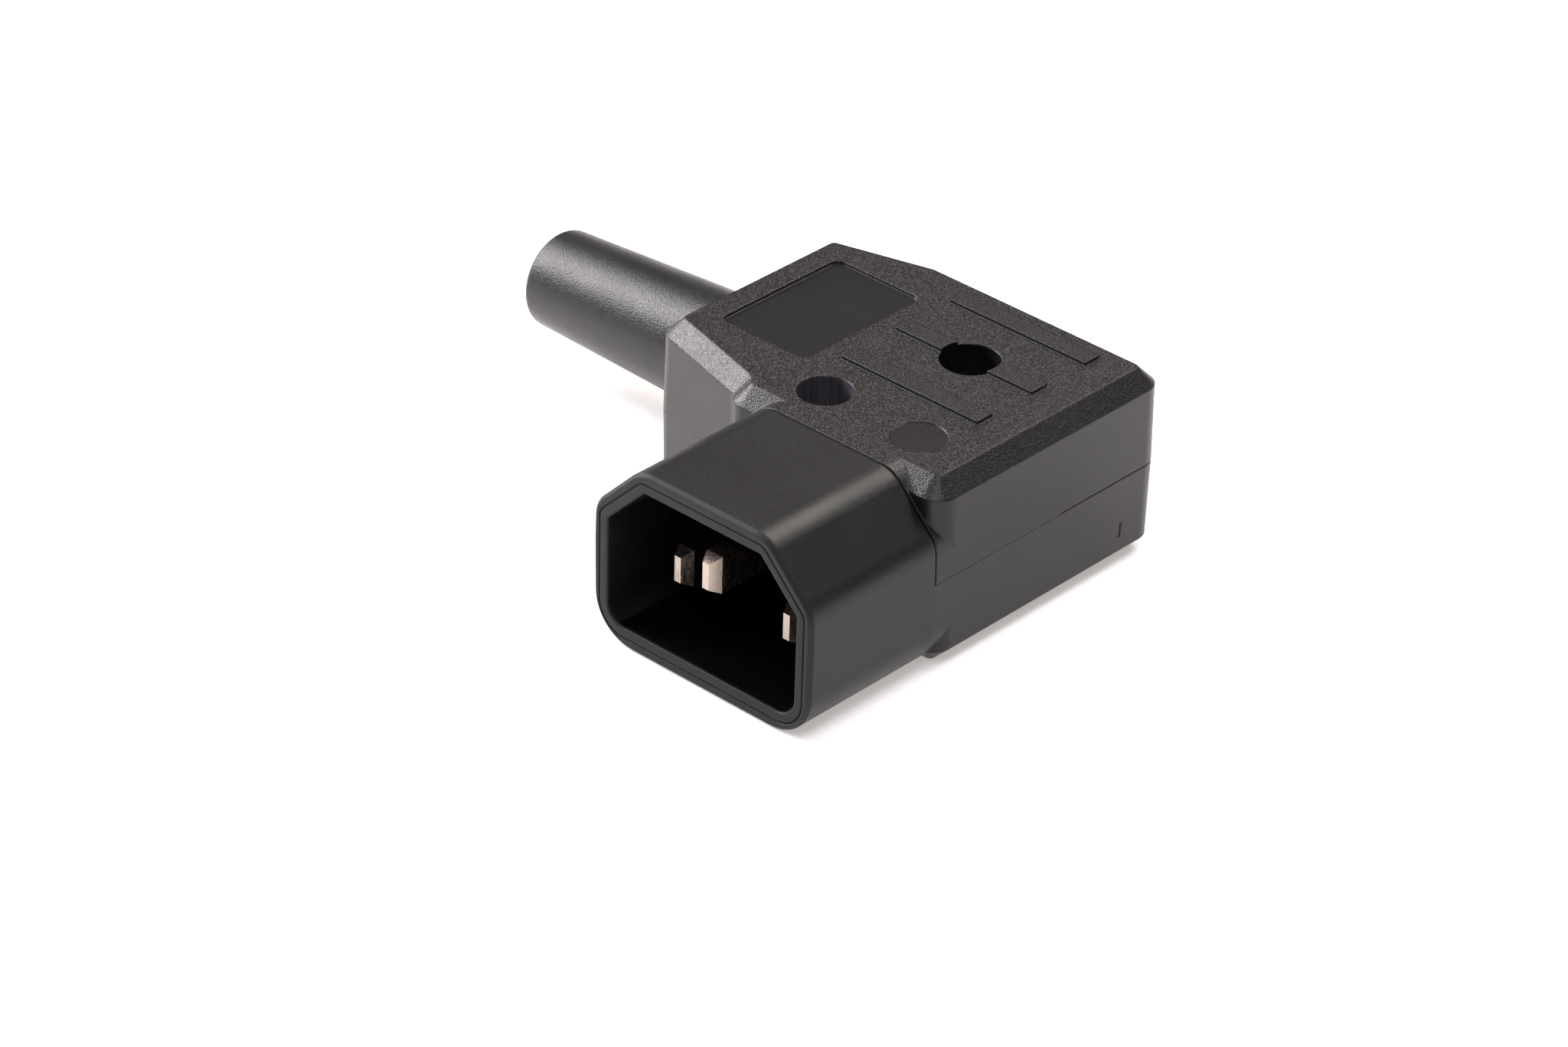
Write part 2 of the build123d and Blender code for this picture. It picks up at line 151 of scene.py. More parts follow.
# %% Hang the soft boxes
PLUG_MIDDLE = Vector((-0.012, 0.024, 0.0))
PINKISH = (1.0, 0.955, 1.0)
WARM = (1.0, 0.95, 0.90)
BLUISH = (0.92, 0.92, 1.0)

# Name, way from the plug to the box, distance, width and height in metres, watts, colour
SOFT_BOXES = [
    ("left_box", (-0.76, -0.11, 0.64), 1.0, 0.45, 0.6, 10, PINKISH),
    ("low_box", (-0.87, -0.30, 0.42), 1.0, 0.35, 0.25, 10.5, PINKISH),
    ("back_box", (0.03, 0.56, 0.83), 1.1, 0.8, 0.34, 9.5, WARM),
    ("front_fill", (0.30, -0.42, 0.86), 1.2, 0.6, 0.6, 8, BLUISH),
]


def soft_box(name, towards, distance, width, height, power, colour):
    """A rectangle of light that faces the plug.

    Its centre is the plug's middle plus distance times the unit vector along towards."""
    light = bpy.data.lights.new(name, "AREA")
    light.shape = "RECTANGLE"
    light.size, light.size_y = width, height
    light.energy, light.color = power, colour
    box = bpy.data.objects.new(name, light)
    way = Vector(towards).normalized()
    box.location = PLUG_MIDDLE + way * distance
    box.rotation_euler = way.to_track_quat("Z", "Y").to_euler()
    bpy.context.scene.collection.objects.link(box)


for box_settings in SOFT_BOXES:
    soft_box(*box_settings)

# %% [markdown]
# ## Building with nodes
#
# The room and every finish below are small graphs of shader nodes. Drawn by hand in
# the editor they would be hard to follow and to change, so one helper adds a node,
# sets its properties and joins or fills its inputs, and a finish reads like a recipe.
# Patterns read Object coordinates, in metres, so a grain keeps its real size and
# stays where it is on the plug.

# %% Add one node
def add_node(tree, kind, inputs=(), **settings):
    """Adds a shader node.

    inputs maps a socket's name or number to a value or to another node's output."""
    made = tree.nodes.new("ShaderNode" + kind)
    for name, value in settings.items():
        setattr(made, name, value)
    for name, value in dict(inputs).items():
        if isinstance(value, bpy.types.NodeSocket):
            tree.links.new(value, made.inputs[name])
        else:
            made.inputs[name].default_value = value
    return made


def new_finish(name):
    """An empty material: (material, tree, Principled shader, texture coordinates)."""
    made = bpy.data.materials.new(name)
    made.use_nodes = True
    tree = made.node_tree
    return made, tree, tree.nodes["Principled BSDF"], add_node(tree, "TexCoord")


print("nodes can be added")

# %% Work with values
def arithmetic(tree, operation, *values):
    """One Math node, and the socket that holds its result."""
    return add_node(tree, "Math", dict(enumerate(values)), operation=operation).outputs[0]


def product(tree, result, *others):
    """All the values multiplied, from left to right."""
    for other in others:
        result = arithmetic(tree, "MULTIPLY", result, other)
    return result


def total(tree, result, *others):
    """All the values added, from left to right."""
    for other in others:
        result = arithmetic(tree, "ADD", result, other)
    return result


def opposite(tree, share):
    """1 - share, so that a mask is turned inside out."""
    return arithmetic(tree, "SUBTRACT", 1.0, share)


def blend(tree, share, at_zero, at_one):
    """at_zero + share * (at_one - at_zero)."""
    return add_node(tree, "Mix", {"Factor": share, 2: at_zero, 3: at_one}).outputs[0]


def ramp(tree, value, start, end, low=0.0, high=1.0):
    """value from start to end becomes low to high, along a smooth S, and stays there outside."""
    fields = {"Value": value, "From Min": start, "From Max": end, "To Min": low, "To Max": high}
    return add_node(tree, "MapRange", fields, interpolation_type="SMOOTHSTEP").outputs["Result"]


print("values can be combined")

# %% Make patterns, colours and relief
NOISE_SPREAD = (0.3, 0.7)  # noise runs from 0 to 1, but seldom leaves this part


def speckle(tree, place, size, detail=2.0):
    """Noise from 0 to 1 with lumps of about this size in metres."""
    fields = {"Vector": place, "Scale": 1 / size, "Detail": detail, "Roughness": 0.6}
    return add_node(tree, "TexNoise", fields).outputs["Fac"]


def colour_of(tree, red, green, blue):
    """Three values joined as one colour."""
    parts = {"Red": red, "Green": green, "Blue": blue}
    return add_node(tree, "CombineColor", parts).outputs["Color"]


def emboss(tree, shader, height, depth, strength=1.0, **more_inputs):
    """Lets the light see a relief of height times depth, with a Bump node."""
    fields = {"Strength": strength, "Distance": depth, "Height": height, **more_inputs}
    bump = add_node(tree, "Bump", fields)
    tree.links.new(bump.outputs["Normal"], shader.inputs["Normal"])


print("lumps of 0.15 mm are noise with a scale of", round(1 / (0.15 * MM)))

# %% [markdown]
# ## A room that is brighter at the back
#
# What isn't turned to the floor or to a box mirrors the room. One even grey would
# fill the mouth of the hood with light, and black would leave the top dull. So the
# room's light rises from front to back: the inside of the hood stays nearly black,
# and the flat top still shines a little.

# %% Light the room
ROOM_FRONT = 0.04
ROOM_BACK = 0.24
ROOM_RISE = (-0.45, 0.55)
ROOM_COLOUR = (1.0, 0.93, 0.91, 1)

room = bpy.data.worlds.new("studio")
room.use_nodes = True
room_tree = room.node_tree
room_way = add_node(room_tree, "TexCoord").outputs["Object"]
way_back = add_node(room_tree, "SeparateXYZ", {"Vector": room_way}).outputs["Y"]
room_light = ramp(room_tree, way_back, *ROOM_RISE, ROOM_FRONT, ROOM_BACK)
background = room_tree.nodes["Background"]
background.inputs["Color"].default_value = ROOM_COLOUR
room_tree.links.new(room_light, background.inputs["Strength"])
bpy.context.scene.world = room
bpy.context.scene.view_settings.view_transform = "Standard"
print("room from", ROOM_FRONT, "in front to", ROOM_BACK, "behind")

# %% [markdown]
# ## Black plastic from a spark-eroded mould
#
# The mould's flat top and its bevels were left as the spark erosion made them, which
# gives a coarse grain. On the level faces the grain is painted brighter than on the
# bevels, as painted glints. The walls were polished along the way the halves leave
# the mould, so they are satin with faint streaks. The shallow recess and the disc over
# a post come from steel inserts and are smoother still.
#
# One material for each kind of surface would need the faces sorted by hand. Here one
# material does it all: masks tell the surfaces apart by direction, height and place,
# and every later step asks the masks. Three places have light and shade painted into
# their colour, because plain light doesn't give them their real tone: the rim and the
# floor of the hood are painted dimmer, as painted shade, and the wall of the blind well
# is painted lighter and bluish, as painted light.

# %% Tell the housing's surfaces apart
WALL_TO_FLAT = (0.25, 0.6)
BEVEL_TO_LEVEL = (0.9, 0.95)
RECESS_FLOOR = 9.85 * MM
RECESS_BAND = 0.05 * MM
DISC_FLOOR = 10.05 * MM
DISC_BAND = 0.04 * MM
DISC_SMOOTHNESS = 0.7
HOOD_END = 17.1 * MM
HOOD_END_BLUR = 0.05 * MM
HOOD_GRAIN = 0.15
RIM_ENDS = (0.3 * MM, 0.6 * MM)
WELL_MIDDLE = (-5.98 * MM, 23.2 * MM, 0.0)
WELL_RADIUS = 2.85 * MM
WELL_BLUR = 0.05 * MM
FLASH_HALF_WIDTH = 0.05 * MM


def height_band(tree, z, middle, half):
    """1 where z is within half of middle, and 0 elsewhere."""
    return arithmetic(tree, "COMPARE", z, middle, half)


def housing_masks(tree, where):
    """Masks from 0 to 1 that tell a surface by its direction, its height and its place.

    The upward part of a surface's direction is 1 on a level face, about 0.7 on a bevel
    and about 0 on a wall. The recess and the disc are level faces at their own heights,
    and the block is all that lies behind the hood."""
    place = add_node(tree, "SeparateXYZ", {"Vector": where.outputs["Object"]}).outputs
    upward = add_node(tree, "SeparateXYZ", {"Vector": where.outputs["Normal"]}).outputs["Z"]
    flat = ramp(tree, arithmetic(tree, "ABSOLUTE", upward), *WALL_TO_FLAT)
    steep = opposite(tree, flat)
    level = ramp(tree, upward, *BEVEL_TO_LEVEL)
    block = ramp(tree, place["Y"], HOOD_END - HOOD_END_BLUR, HOOD_END + HOOD_END_BLUR)

    recess = product(tree, level, height_band(tree, place["Z"], RECESS_FLOOR, RECESS_BAND))
    disc = product(tree, level, height_band(tree, place["Z"], DISC_FLOOR, DISC_BAND))
    smooth = arithmetic(tree, "MAXIMUM", recess, product(tree, disc, DISC_SMOOTHNESS))
    block_grain = ramp(tree, block, 0.0, 1.0, HOOD_GRAIN, 1.0)

    from_above = add_node(tree, "CombineXYZ", {"X": place["X"], "Y": place["Y"]}).outputs[0]
    gap = add_node(tree, "VectorMath", {0: from_above, 1: WELL_MIDDLE}, operation="DISTANCE")
    near_well = ramp(tree, gap.outputs["Value"], WELL_RADIUS, WELL_RADIUS + WELL_BLUR, 1.0, 0.0)
    joint = height_band(tree, place["Z"], 0.0, FLASH_HALF_WIDTH)
    return SimpleNamespace(
        steep=steep,
        level=level,
        block=block,
        grainy=product(tree, flat, block_grain, opposite(tree, smooth)),
        # The rim and the hood's inner floor: painted shade dims their colour, and their roughness
        # changes too.
        rim=ramp(tree, place["Y"], *RIM_ENDS, 1.0, 0.0),
        hood_floor=product(tree, level, arithmetic(tree, "LESS_THAN", place["Z"], 0.0)),
        # The blind well's wall: painted light makes its colour lighter and bluish.
        well_wall_painted_light=product(tree, near_well, steep),
        flash=product(tree, joint, steep, opposite(tree, block)),
    )


print("the block's finish starts", HOOD_END / MM, "mm behind the hood's mouth")

# %% Grain and streaks from the mould
GRAIN_SIZE = 0.15 * MM
FINE_SIZE = 0.09 * MM
CLOUD_SIZE = 9 * MM
STREAK_WIDTH = 0.25 * MM
STREAK_UP = 6 * MM
STREAK_OUT = 8 * MM


def streaks(tree, place, spacing_x, spacing_y, spacing_z):
    """Noise pulled long: its lumps measure these three spacings in metres."""
    fields = {"Vector": place, "Scale": (1 / spacing_x, 1 / spacing_y, 1 / spacing_z)}
    pulled = add_node(tree, "Mapping", fields).outputs["Vector"]
    noise = add_node(tree, "TexNoise", {"Vector": pulled, "Scale": 1.0, "Detail": 2.0})
    return noise.outputs["Fac"]


def mould_marks(tree, place, block):
    """Coarse and fine grain, slow clouds, and streaks the way the mould was drawn off.

    The block's halves left their mould upwards and downwards, and the hood's core was
    pulled out along Y, so drawn is blended from one set of streaks to the other."""
    drawn_up = streaks(tree, place, STREAK_WIDTH, STREAK_WIDTH, STREAK_UP)
    drawn_out = streaks(tree, place, STREAK_WIDTH, STREAK_OUT, STREAK_WIDTH)
    return SimpleNamespace(
        coarse=speckle(tree, place, GRAIN_SIZE, 1.0),
        fine=speckle(tree, place, FINE_SIZE),
        cloudy=speckle(tree, place, CLOUD_SIZE, 3.0),
        drawn_up=drawn_up,
        drawn=blend(tree, block, drawn_out, drawn_up),
    )


print("streaks are", round(STREAK_UP / STREAK_WIDTH), "times as long as they are wide")

# %% The housing's shades of black, with painted glints, painted shade and painted light
SATIN_GREY = (0.004, 0.007)
BEVEL_GRAIN, BEVEL_GREY = (0.40, 0.70), (0.002, 0.014)
# On level faces the grain is painted brighter than on the bevels: painted glints.
TOP_GRAIN, TOP_GREY_WITH_GLINTS = (0.44, 0.70), (0.001, 0.055)
# Share by which painted shade dims the rim and the hood's inner floor.
PAINTED_SHADE_BY = 0.8
# Painted light on the blind well's wall: a lighter grey, streaked along the draw.
WELL_PAINTED_LIGHT_GREY = (0.035, 0.060)
GREEN_SHARE = 0.90
BLUE_SHARE = 0.88
# Blue share of the painted light on the blind well's wall.
WELL_PAINTED_LIGHT_BLUE_SHARE = 1.05


def housing_colour(tree, on, marks):
    """A grey for each kind of surface; red is the grey, and green and blue are shares of it.

    The grain of level faces is painted brighter, as painted glints. Painted shade dims the
    rim and the hood's inner floor, and painted light makes the blind well's wall lighter
    and bluish.
    """
    satin = ramp(tree, marks.fine, *NOISE_SPREAD, *SATIN_GREY)
    bevel = ramp(tree, marks.coarse, *BEVEL_GRAIN, *BEVEL_GREY)
    # painted glints: the grain on level faces is painted brighter
    top = ramp(tree, marks.coarse, *TOP_GRAIN, *TOP_GREY_WITH_GLINTS)
    grey = blend(tree, on.grainy, satin, blend(tree, on.level, bevel, top))
    # painted shade on the rim and on the hood's inner floor
    painted_shade = product(tree, arithmetic(tree, "MAXIMUM", on.hood_floor, on.rim), PAINTED_SHADE_BY)
    # painted light on the blind well's wall, lighter and bluish
    painted_well_light = product(tree, on.well_wall_painted_light, ramp(tree, marks.drawn_up, *NOISE_SPREAD, *WELL_PAINTED_LIGHT_GREY))
    grey = total(tree, product(tree, grey, opposite(tree, painted_shade)), painted_well_light)
    blue_share = ramp(tree, on.well_wall_painted_light, 0.0, 1.0, BLUE_SHARE, WELL_PAINTED_LIGHT_BLUE_SHARE)
    return colour_of(
        tree, grey, product(tree, grey, GREEN_SHARE), product(tree, grey, blue_share)
    )


print("a bright grain on the top reflects", TOP_GREY_WITH_GLINTS[1], "and on a bevel", BEVEL_GREY[1])

# %% The housing's gloss
SATIN_ROUGHNESS = (0.33, 0.38)
HOOD_ROUGHER = 0.05
RIM_ROUGHER = 0.20
HOOD_FLOOR_ROUGHER = -0.18
HOUSING_SPECULAR = 0.37


def housing_roughness(tree, on, marks):
    """Slow clouds, plus a little on the hood and more on its rim, less on its inner floor."""
    return total(
        tree,
        ramp(tree, marks.cloudy, *NOISE_SPREAD, *SATIN_ROUGHNESS),
        ramp(tree, on.block, 0.0, 1.0, HOOD_ROUGHER, 0.0),
        product(tree, on.rim, RIM_ROUGHER),
        product(tree, on.hood_floor, HOOD_FLOOR_ROUGHER),
    )


print("the block's roughness lies from", SATIN_ROUGHNESS[0], "to", SATIN_ROUGHNESS[1])

# %% [markdown]
# ## Relief that is too fine for a mesh
#
# The grain, the streaks and the thin broken line of flash along the hood's side stand
# out by a few hundredths of a millimetre, which would take millions of faces. A Bump
# node tilts the surface's direction instead, so that the light sees them. The moulded
# edges are never quite sharp either, and the Bevel node rounds them the same way.

# %% The housing's relief and its whole finish
RELIEF_DEPTH = 0.05 * MM
FINE_HEIGHT = 0.22
STREAK_HEIGHT = 0.03
FLASH_HEIGHT = 0.5
FLASH_GAP_SIZE = 0.5 * MM
FLASH_GAP_EDGE = (0.45, 0.55)
EDGE_ROUNDING = 0.3 * MM
EDGE_SAMPLES = 6


def housing_relief(tree, place, on, marks):
    """Grain + fine grain + streaks on walls + broken flash, in shares of the relief's depth."""
    unbroken = ramp(tree, speckle(tree, place, FLASH_GAP_SIZE), *FLASH_GAP_EDGE)
    return total(
        tree,
        product(tree, marks.coarse, on.grainy),
        product(tree, marks.fine, FINE_HEIGHT),
        product(tree, marks.drawn, on.steep, STREAK_HEIGHT),
        product(tree, on.flash, unbroken, FLASH_HEIGHT),
    )


def housing_finish():
    """Masks first, then colour, gloss and relief, each from the masks and the mould's marks."""
    made, tree, shader, where = new_finish("spark_eroded_plastic")
    place = where.outputs["Object"]
    on = housing_masks(tree, where)
    marks = mould_marks(tree, place, on.block)
    tree.links.new(housing_colour(tree, on, marks), shader.inputs["Base Color"])
    tree.links.new(housing_roughness(tree, on, marks), shader.inputs["Roughness"])
    shader.inputs["Specular IOR Level"].default_value = HOUSING_SPECULAR
    edges = add_node(tree, "Bevel", {"Radius": EDGE_ROUNDING}, samples=EDGE_SAMPLES)
    relief = housing_relief(tree, place, on, marks)
    emboss(tree, shader, relief, RELIEF_DEPTH, Normal=edges.outputs["Normal"])
    return made


def dress(finish, *names):
    """Gives these CAD pieces a finish, in every slot that they have."""
    for name in names:
        for slot in pieces[name].material_slots:
            slot.material = finish
    print(finish.name, "on", ", ".join(names))


dress(housing_finish(), "base", "cover")

# %% [markdown]
# ## The soft boot
#
# The boot is a soft plastic sleeve that keeps a cable from bending sharply. It is
# round, so it could be a cylinder with a taper, but its rounded lip, its flange
# behind the wall and its bore are all one outline turned about the sleeve's axis.
# So the outline is drawn once, its corners are rounded, and every point of it is
# carried round the axis. The axis hangs down a little, as the real boot's does. Its
# plastic has one even grain all over, and a little more shine than the housing's.

# %% Round the corners of an outline
def rounded_outline(corners, radii, run_steps=10, arc_steps=8):
    """A closed outline through corners, each cut by an arc of its radius.

    An arc touches both of its corner's sides at radius / tan(half the corner's angle), and
    its middle lies on the line that halves the corner, at radius / sin(half the angle). The
    straight runs between the arcs are divided evenly."""
    corners = np.asarray(corners, float)
    radii = np.asarray(radii, float)
    to_last = np.roll(corners, 1, axis=0) - corners
    to_next = np.roll(corners, -1, axis=0) - corners
    to_last /= np.linalg.norm(to_last, axis=1, keepdims=True)
    to_next /= np.linalg.norm(to_next, axis=1, keepdims=True)
    half_angle = np.arccos(np.clip((to_last * to_next).sum(axis=1), -1, 1)) / 2
    halving = (to_last + to_next) / np.linalg.norm(to_last + to_next, axis=1, keepdims=True)
    middle = (corners + halving * (radii / np.sin(half_angle))[:, None])[:, None]
    start = corners[:, None] + (to_last * (radii / np.tan(half_angle))[:, None])[:, None] - middle
    end = corners[:, None] + (to_next * (radii / np.tan(half_angle))[:, None])[:, None] - middle
    sweep = math.pi - 2 * half_angle[:, None]
    share = np.linspace(0, 1, arc_steps + 1)
    from_start = (np.sin((1 - share) * sweep) / np.sin(sweep))[..., None]
    from_end = (np.sin(share * sweep) / np.sin(sweep))[..., None]
    arcs = middle + from_start * start + from_end * end
    run_share = np.linspace(0, 1, run_steps + 1)[1:-1, None]
    next_start = np.roll(arcs[:, 0], -1, axis=0)
    runs = arcs[:, -1][:, None] * (1 - run_share) + next_start[:, None] * run_share
    return np.concatenate([arcs, runs], axis=1).reshape(-1, 2)


outline_try = rounded_outline([(0, 0), (4, 0), (4, 2), (0, 2)], [0.5] * 4)
print("a 4 by 2 outline becomes", len(outline_try), "points, highest", outline_try[:, 1].max())

# %% Turn a grid of points into a mesh
MERGE_DISTANCE = 1e-6


def grid_faces(rows, columns, join_rows=True):
    """Each face joins point (i, j) to (i + 1, j), (i + 1, j + 1) and (i, j + 1).

    Points are numbered along the columns. The last column joins the first, and the last
    row joins the first where join_rows says so."""
    i = np.arange(rows if join_rows else rows - 1)[:, None]
    j = np.arange(columns)[None, :]
    next_i, next_j = (i + 1) % rows, (j + 1) % columns
    ring = [(i, j), (next_i, j), (next_i, next_j), (i, next_j)]
    return np.stack([row * columns + column for row, column in ring], axis=-1).reshape(-1, 4)


def make_piece(name, points, faces, finish, slot, *stands_for):
    """A smooth-shaded object from points in millimetres, put in the place of CAD nodes.

    Points that meet, as at a pole, are merged, and then the faces are turned outwards."""
    mesh = bpy.data.meshes.new(name)
    mesh.from_pydata((np.asarray(points) * MM).tolist(), [], np.asarray(faces).tolist())
    work = bmesh.new()
    work.from_mesh(mesh)
    bmesh.ops.remove_doubles(work, verts=work.verts, dist=MERGE_DISTANCE)
    bmesh.ops.recalc_face_normals(work, faces=work.faces)
    open_edges = sum(not edge.is_manifold for edge in work.edges)
    work.to_mesh(mesh)
    work.free()
    mesh.shade_smooth()
    mesh.materials.append(finish)
    piece = bpy.data.objects.new(name, mesh)
    bpy.context.scene.collection.objects.link(piece)
    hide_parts(*stands_for)
    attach(piece, "root")
    print(name, "has", len(mesh.polygons), "faces and", open_edges, "open edges")


print("a tube of 3 rings of 4 points has", len(grid_faces(3, 4, join_rows=False)), "faces")

# %% The boot's finish
BOOT_GRAIN_SIZE = 0.15 * MM
BOOT_CLOUD_SIZE = 6 * MM
BOOT_GREY = (0.003, 0.010)
BOOT_ROUGHNESS = (0.32, 0.37)
BOOT_SPECULAR = 0.44
BOOT_RELIEF_DEPTH = 0.05 * MM


def boot_finish():
    """One grain sets both the grey and the relief, and slow clouds set the roughness."""
    made, tree, shader, where = new_finish("soft_boot_plastic")
    place = where.outputs["Object"]
    coarse = speckle(tree, place, BOOT_GRAIN_SIZE)
    cloudy = speckle(tree, place, BOOT_CLOUD_SIZE, 3.0)
    grey = ramp(tree, coarse, *NOISE_SPREAD, *BOOT_GREY)
    tree.links.new(colour_of(tree, grey, grey, grey), shader.inputs["Base Color"])
    rough = ramp(tree, cloudy, *NOISE_SPREAD, *BOOT_ROUGHNESS)
    tree.links.new(rough, shader.inputs["Roughness"])
    shader.inputs["Specular IOR Level"].default_value = BOOT_SPECULAR
    emboss(tree, shader, coarse, BOOT_RELIEF_DEPTH)
    return made


soft_plastic = boot_finish()
print("made", soft_plastic.name)

# %% Turn the boot about its axis
BOOT_ROOT_MM = (-27.2, 34.5, 0.0)
BOOT_DROOP_DEG = 1.6
BOOT_LENGTH = 25.95
BOOT_ROOT_RADIUS = 6.28
BOOT_TIP_RADIUS = 5.21
BOOT_BORE_RADIUS = 4.0
FLANGE_RADIUS = 7.7
FLANGE_INNER_END = -4.72
FLANGE_OUTER_END = -2.47
BOOT_RUN_STEPS = 14
BOOT_TURN_STEPS = 144


def boot_points():
    """Point (a, t) lies at s(t) along the sleeve's axis and at r(t) from it, turned by angle a."""
    taper = (BOOT_ROOT_RADIUS - BOOT_TIP_RADIUS) / BOOT_LENGTH
    flange_root = BOOT_ROOT_RADIUS - taper * FLANGE_OUTER_END
    outline = np.array([  # along the axis, away from it, and the corner's rounding
        (FLANGE_INNER_END, BOOT_BORE_RADIUS, 0.25),
        (FLANGE_INNER_END, FLANGE_RADIUS, 0.3),
        (FLANGE_OUTER_END, FLANGE_RADIUS, 0.3),
        (FLANGE_OUTER_END, flange_root, 0.15),
        (BOOT_LENGTH, BOOT_TIP_RADIUS, 0.75),
        (BOOT_LENGTH, BOOT_BORE_RADIUS, 0.3),
    ])
    along, radius = rounded_outline(outline[:, :2], outline[:, 2], run_steps=BOOT_RUN_STEPS).T
    turn = np.linspace(0, 2 * math.pi, BOOT_TURN_STEPS, endpoint=False)[:, None, None]
    droop = math.radians(BOOT_DROOP_DEG)
    outwards = np.array([-math.cos(droop), 0, -math.sin(droop)])
    sideways = np.array([0, 1, 0])
    upwards = np.array([-math.sin(droop), 0, math.cos(droop)])
    across = np.cos(turn) * sideways + np.sin(turn) * upwards
    return np.array(BOOT_ROOT_MM) + along[:, None] * outwards + radius[:, None] * across


boot_grid = boot_points()
make_piece(
    "soft_boot", boot_grid.reshape(-1, 3), grid_faces(*boot_grid.shape[:2]),
    soft_plastic, "boot_rubber", "strain_relief_boot",
)

# %% [markdown]
# ## Plated blades, zinc and the clamp
#
# The blades are brass under bright nickel. They were cut from bar and keep faint
# marks across their length. Plain noise would leave them blotchy, so theirs has more
# lumps per metre along Y than up and down. The screws are zinc plated, with marks that
# run no particular way, and the clamp is plain black plastic with a fine matt grain.

# %% The metals and the clamp
METAL_ROUGHER, METAL_SMOOTHER = 1.3, 0.75
METAL_RELIEF_STRENGTH = 0.3
NICKEL_COLOUR = (0.43, 0.37, 0.31)
NICKEL_ROUGHNESS = 0.24
NICKEL_LUMPS_PER_METRE = (4000, 16000, 900)
NICKEL_RELIEF_DEPTH = 0.006 * MM
ZINC_COLOUR = (0.62, 0.63, 0.66)
ZINC_ROUGHNESS = 0.32
ZINC_LUMPS_PER_METRE = (9000, 9000, 9000)
ZINC_RELIEF_DEPTH = 0.004 * MM
CLAMP_COLOUR = (0.02, 0.02, 0.022, 1)
CLAMP_GRAIN_SIZE = 0.12 * MM
CLAMP_ROUGHNESS = (0.38, 0.48)
CLAMP_RELIEF_STRENGTH = 0.3
CLAMP_RELIEF_DEPTH = 0.02 * MM


def metal_finish(name, colour, roughness, lumps_per_metre, depth):
    """Noise with its own lumps per metre along X, Y and Z both roughens and marks the metal."""
    made, tree, shader, where = new_finish(name)
    fields = {"Vector": where.outputs["Object"], "Scale": lumps_per_metre}
    spread = add_node(tree, "Mapping", fields).outputs["Vector"]
    marks = add_node(tree, "TexNoise", {"Vector": spread, "Scale": 1.0, "Detail": 3.0})
    shader.inputs["Base Color"].default_value = (*colour, 1)
    shader.inputs["Metallic"].default_value = 1.0
    rough = ramp(tree, marks.outputs["Fac"], *NOISE_SPREAD,
                 roughness * METAL_SMOOTHER, roughness * METAL_ROUGHER)
    tree.links.new(rough, shader.inputs["Roughness"])
    emboss(tree, shader, marks.outputs["Fac"], depth, METAL_RELIEF_STRENGTH)
    return made


def clamp_finish():
    """One even black, with one fine grain for its roughness and its relief."""
    made, tree, shader, where = new_finish("clamp_plastic")
    fine = speckle(tree, where.outputs["Object"], CLAMP_GRAIN_SIZE)
    shader.inputs["Base Color"].default_value = CLAMP_COLOUR
    rough = ramp(tree, fine, *NOISE_SPREAD, *CLAMP_ROUGHNESS)
    tree.links.new(rough, shader.inputs["Roughness"])
    emboss(tree, shader, fine, CLAMP_RELIEF_DEPTH, CLAMP_RELIEF_STRENGTH)
    return made


nickel = metal_finish("bright_nickel", NICKEL_COLOUR, NICKEL_ROUGHNESS,
                      NICKEL_LUMPS_PER_METRE, NICKEL_RELIEF_DEPTH)
zinc = metal_finish("zinc_plate", ZINC_COLOUR, ZINC_ROUGHNESS,
                    ZINC_LUMPS_PER_METRE, ZINC_RELIEF_DEPTH)
dress(nickel, "line_pin", "neutral_pin", "earth_pin")
dress(clamp_finish(), "cable_clamp_bar")

# %% [markdown]
# ## Six slotted screws
#
# The CAD model's screws are plain: a disc with a slot, and a smooth shank. A turned
# head has a rounded rim, and a shank has a thread. The head is worked out in slices
# across the slot, because slices can stop exactly at the slot's two walls, which a
# grid of rings can't. The thread could be a profile swept along a helix, but its two
# ends would need closing by hand. So it is one surface that winds: its radius rises
# and falls along the shank, and the crest moves by one pitch for every turn.

# %% A slotted head
HEAD_RADIUS = 2.5
HEAD_HEIGHT = 2.0
HEAD_RIM_ROUND = 0.5
HEAD_SLICES = 36
HEAD_STEPS = 40
SLOT_HALF_WIDTH = 0.4
SLOT_DEPTH = 1.0
SLOT_EDGE_ROUND = 0.06


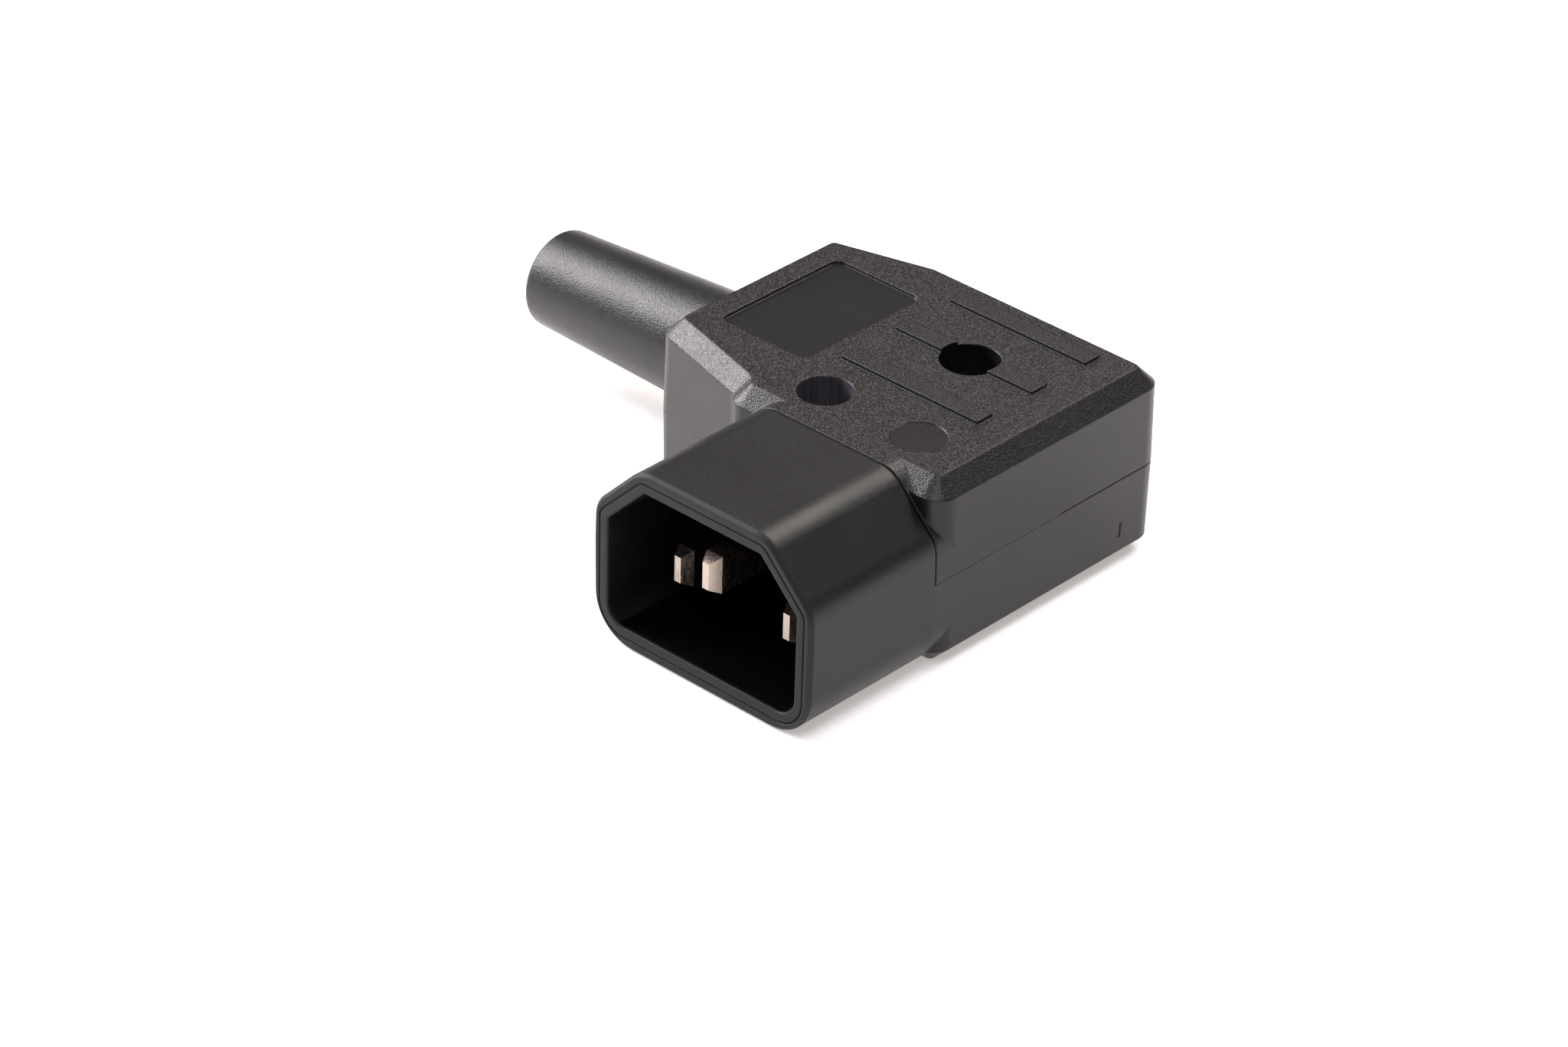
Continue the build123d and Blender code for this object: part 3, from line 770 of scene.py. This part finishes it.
def head_points():
    """Slice x is a chord: y runs along it over the top, and back along the flat underside.

    At the rim the top falls by a quarter circle. In the slot it is lower by the slot's
    depth, and at each of the slot's walls two slices share one x."""
    quarter = math.pi / 2
    even = HEAD_RADIUS * np.sin(np.linspace(-quarter, quarter, HEAD_SLICES))
    even = even[np.abs(even) > SLOT_HALF_WIDTH + SLOT_EDGE_ROUND]
    wall = np.array([SLOT_HALF_WIDTH + SLOT_EDGE_ROUND, SLOT_HALF_WIDTH, SLOT_HALF_WIDTH])
    sunk = np.array([0, SLOT_EDGE_ROUND, SLOT_DEPTH])
    x = np.concatenate([even[even < 0], -wall, wall[::-1], even[even > 0]])[:, None]
    cut = np.concatenate([0 * even[even < 0], sunk, sunk[::-1], 0 * even[even > 0]])[:, None]
    half_chord = np.sqrt(np.maximum(HEAD_RADIUS**2 - x**2, 0))
    y_top = half_chord * np.sin(np.linspace(-quarter, quarter, HEAD_STEPS))
    past_flat = np.hypot(x, y_top) - (HEAD_RADIUS - HEAD_RIM_ROUND)
    past_flat = np.clip(past_flat, 0, HEAD_RIM_ROUND)
    z_top = HEAD_HEIGHT - HEAD_RIM_ROUND + np.sqrt(HEAD_RIM_ROUND**2 - past_flat**2)
    z_top = np.minimum(z_top, HEAD_HEIGHT - cut)
    y = np.concatenate([y_top, y_top[:, ::-1]], axis=1)
    z = np.concatenate([z_top, np.zeros_like(z_top)], axis=1)
    return np.stack([np.broadcast_to(x, y.shape), y, z], axis=-1)


head_grid = head_points()
print("a head has", head_grid.shape[0], "slices of", head_grid.shape[1], "points")

# %% A threaded shank
CREST_RADIUS = 1.49
THREAD_DEPTH = 0.28
ROWS_PER_PITCH = 12
SHANK_TURN_STEPS = 36
SHANK_TOP = HEAD_HEIGHT / 4  # inside the head, so that no gap can show
END_TAPER = 0.5
MACHINE_PITCH = 0.5
PLASTIC_PITCH = 1.0


def shank_points(length, pitch):
    """Radius = crest - depth * (1 + cos(2 pi (z / pitch + turn))) / 2.

    The crest sinks by one pitch for every turn anticlockwise, seen from the head, which is
    a left-hand thread; z / pitch - turn would make the usual right-hand one. Over the last
    pitch the radius shrinks to a blunt point, and a ring of no radius closes each end."""
    rows = int(ROWS_PER_PITCH * (length + SHANK_TOP) / pitch)
    z = np.linspace(SHANK_TOP, -length, rows)[:, None]
    turn = np.linspace(0, 1, SHANK_TURN_STEPS, endpoint=False)[None, :]
    groove = THREAD_DEPTH * (1 + np.cos(2 * math.pi * (z / pitch + turn))) / 2
    from_end = np.clip((z + length) / pitch, 0, 1)
    radius = CREST_RADIUS - groove - (groove + THREAD_DEPTH) * END_TAPER * (1 - from_end)
    radius = np.concatenate([0 * radius[:1], radius, 0 * radius[:1]])
    z = np.concatenate([z[:1], z, z[-1:]])
    angle = 2 * math.pi * turn
    x, y = radius * np.cos(angle), radius * np.sin(angle)
    return np.stack([x, y, np.broadcast_to(z, x.shape)], axis=-1)


print("a 3 mm machine screw has", shank_points(3.0, MACHINE_PITCH).shape[0], "rings")

# %% Put the screws on their seats
# Piece, place of its seat in mm, length of its shank in mm, and pitch
SCREWS = [
    ("housing_screw", (-0.2, 37.5, 2.0), 8.6, PLASTIC_PITCH),
    ("clamp_screw_front", (-17.5, 25.9, 2.4), 9.0, PLASTIC_PITCH),
    ("clamp_screw_back", (-17.5, 43.1, 2.4), 9.0, PLASTIC_PITCH),
    ("line_terminal_screw", (-7.0, 28.0, 1.6), 3.0, MACHINE_PITCH),
    ("neutral_terminal_screw", (7.0, 28.0, 1.6), 3.0, MACHINE_PITCH),
    ("earth_terminal_screw", (0.0, 25.25, 4.8), 3.0, MACHINE_PITCH),
]


def slotted_screw(node, seat, shank_length, pitch):
    """Head and shank as one mesh that stands on seat, the middle of the head's underside."""
    shank_grid = shank_points(shank_length, pitch)
    head_faces = grid_faces(*head_grid.shape[:2], join_rows=False)
    shank_faces = grid_faces(*shank_grid.shape[:2], join_rows=False)
    shank_faces += head_grid.shape[0] * head_grid.shape[1]
    points = np.concatenate([head_grid.reshape(-1, 3), shank_grid.reshape(-1, 3)])
    faces = np.concatenate([head_faces, shank_faces])
    make_piece("turned_" + node, points + np.array(seat), faces, zinc, "screw_steel", node)


for screw in SCREWS:
    slotted_screw(*screw)
